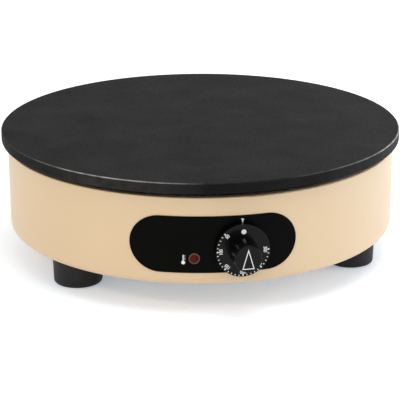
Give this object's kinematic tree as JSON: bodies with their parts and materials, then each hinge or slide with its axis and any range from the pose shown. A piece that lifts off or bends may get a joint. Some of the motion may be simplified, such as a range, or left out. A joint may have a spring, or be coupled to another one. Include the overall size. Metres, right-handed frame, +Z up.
{
  "type": "electric crepe maker",
  "caption": "Tabletop electric crepe maker: round cast-iron griddle on a beige steel casing, with rubber feet, a thermostat knob and a pilot lamp on a black panel.",
  "frame": {"origin": "on the worktop, under the griddle's axis, at the centre of the overall footprint to within its tolerance", "axes": "+Z up, -Y to the front where the thermostat knob is, +Y to the rear where the cable gland is, +X to the right as seen from the front"},
  "size_m": [0.3999, 0.4465, 0.13],
  "materials": {
    "cast_iron_plate": "seasoned, fine ground matte",
    "casing_enamel": "beige baked enamel, semi-gloss",
    "panel_plastic": "black, glossy",
    "foot_rubber": "black, matte",
    "zinc_steel": "zinc plated",
    "spring_steel": "blued spring steel",
    "element_sheath": "stainless sheath, heat tinted",
    "white_ceramic": "glazed steatite",
    "blade_metal": "tinned brass",
    "ceramic_wool": "ceramic fibre board",
    "tray_aluminium": "mill finish sheet",
    "knob_plastic": "black thermoset, satin gloss",
    "brass_fitting": "turned",
    "copper_tube": "drawn copper",
    "thermostat_resin": "brown phenolic moulding",
    "thermostat_can": "pressed, zinc plated",
    "lamp_bezel_plastic": "dark heat-resistant plastic",
    "lamp_lens_plastic": "dark orange, translucent",
    "gland_nylon": "black polyamide",
    "seal_rubber": "black, matte",
    "block_nylon": "natural polyamide",
    "boot_sleeve": "silicone",
    "live_wire_sleeve": "brown silicone sleeve",
    "switched_wire_sleeve": "black silicone sleeve",
    "neutral_wire_sleeve": "blue silicone sleeve",
    "earth_wire_sleeve": "green and yellow silicone sleeve"
  },
  "bodies": {
    "cooker": {"block_fixing_screws": "zinc_steel", "block_terminal_screws": "zinc_steel", "bracket_nuts": "zinc_steel", "bracket_screws": "zinc_steel", "bulb_sleeve": "tray_aluminium", "capillary": "copper_tube", "casing": "casing_enamel", "clamp_nuts": "zinc_steel", "clamp_plate": "zinc_steel", "clamp_studs": "zinc_steel", "clamp_washers": "zinc_steel", "control_panel": "panel_plastic", "earth_nut": "zinc_steel", "earth_stud": "zinc_steel", "earth_tag": "blade_metal", "earth_washer": "zinc_steel", "earth_wire": "earth_wire_sleeve", "element_beads": "white_ceramic", "element_blades": "blade_metal", "foot_washers": "zinc_steel", "front_left_foot": "foot_rubber", "front_right_foot": "foot_rubber", "gland_body": "gland_nylon", "gland_locknut": "gland_nylon", "gland_nut": "gland_nylon", "gland_seal": "seal_rubber", "griddle_bolts": "zinc_steel", "griddle_plate": "cast_iron_plate", "heating_element": "element_sheath", "insulation": "ceramic_wool", "insulation_tray": "tray_aluminium", "lamp_bezel": "lamp_bezel_plastic", "lamp_clip": "spring_steel", "lamp_housing": "lamp_bezel_plastic", "lamp_lens": "lamp_lens_plastic", "lamp_neutral_wire": "neutral_wire_sleeve", "lamp_switched_wire": "switched_wire_sleeve", "lamp_tabs": "blade_metal", "live_wire": "live_wire_sleeve", "lower_spacers": "zinc_steel", "neutral_wire": "neutral_wire_sleeve", "rear_foot": "foot_rubber", "switched_wire": "switched_wire_sleeve", "terminal_block": "block_nylon", "thermostat_body": "thermostat_resin", "thermostat_bracket": "zinc_steel", "thermostat_bulb": "copper_tube", "thermostat_bushing": "brass_fitting", "thermostat_cover": "thermostat_can", "thermostat_screws": "zinc_steel", "thermostat_tabs": "blade_metal", "upper_spacers": "zinc_steel", "wire_boots": "boot_sleeve"},
    "knob": {"knob_skirt": "knob_plastic", "knob_grip": "knob_plastic", "knob_cap": "knob_plastic", "knob_clip": "spring_steel", "thermostat_shaft": "zinc_steel"}
  },
  "joints": [
    {"name": "knob_turn", "type": "hinge", "parent": "cooker", "child": "knob", "pos_m": [0, -0.202, 0.0654], "axis": [0, 1, 0], "range_deg": [0, 270]}
  ]
}
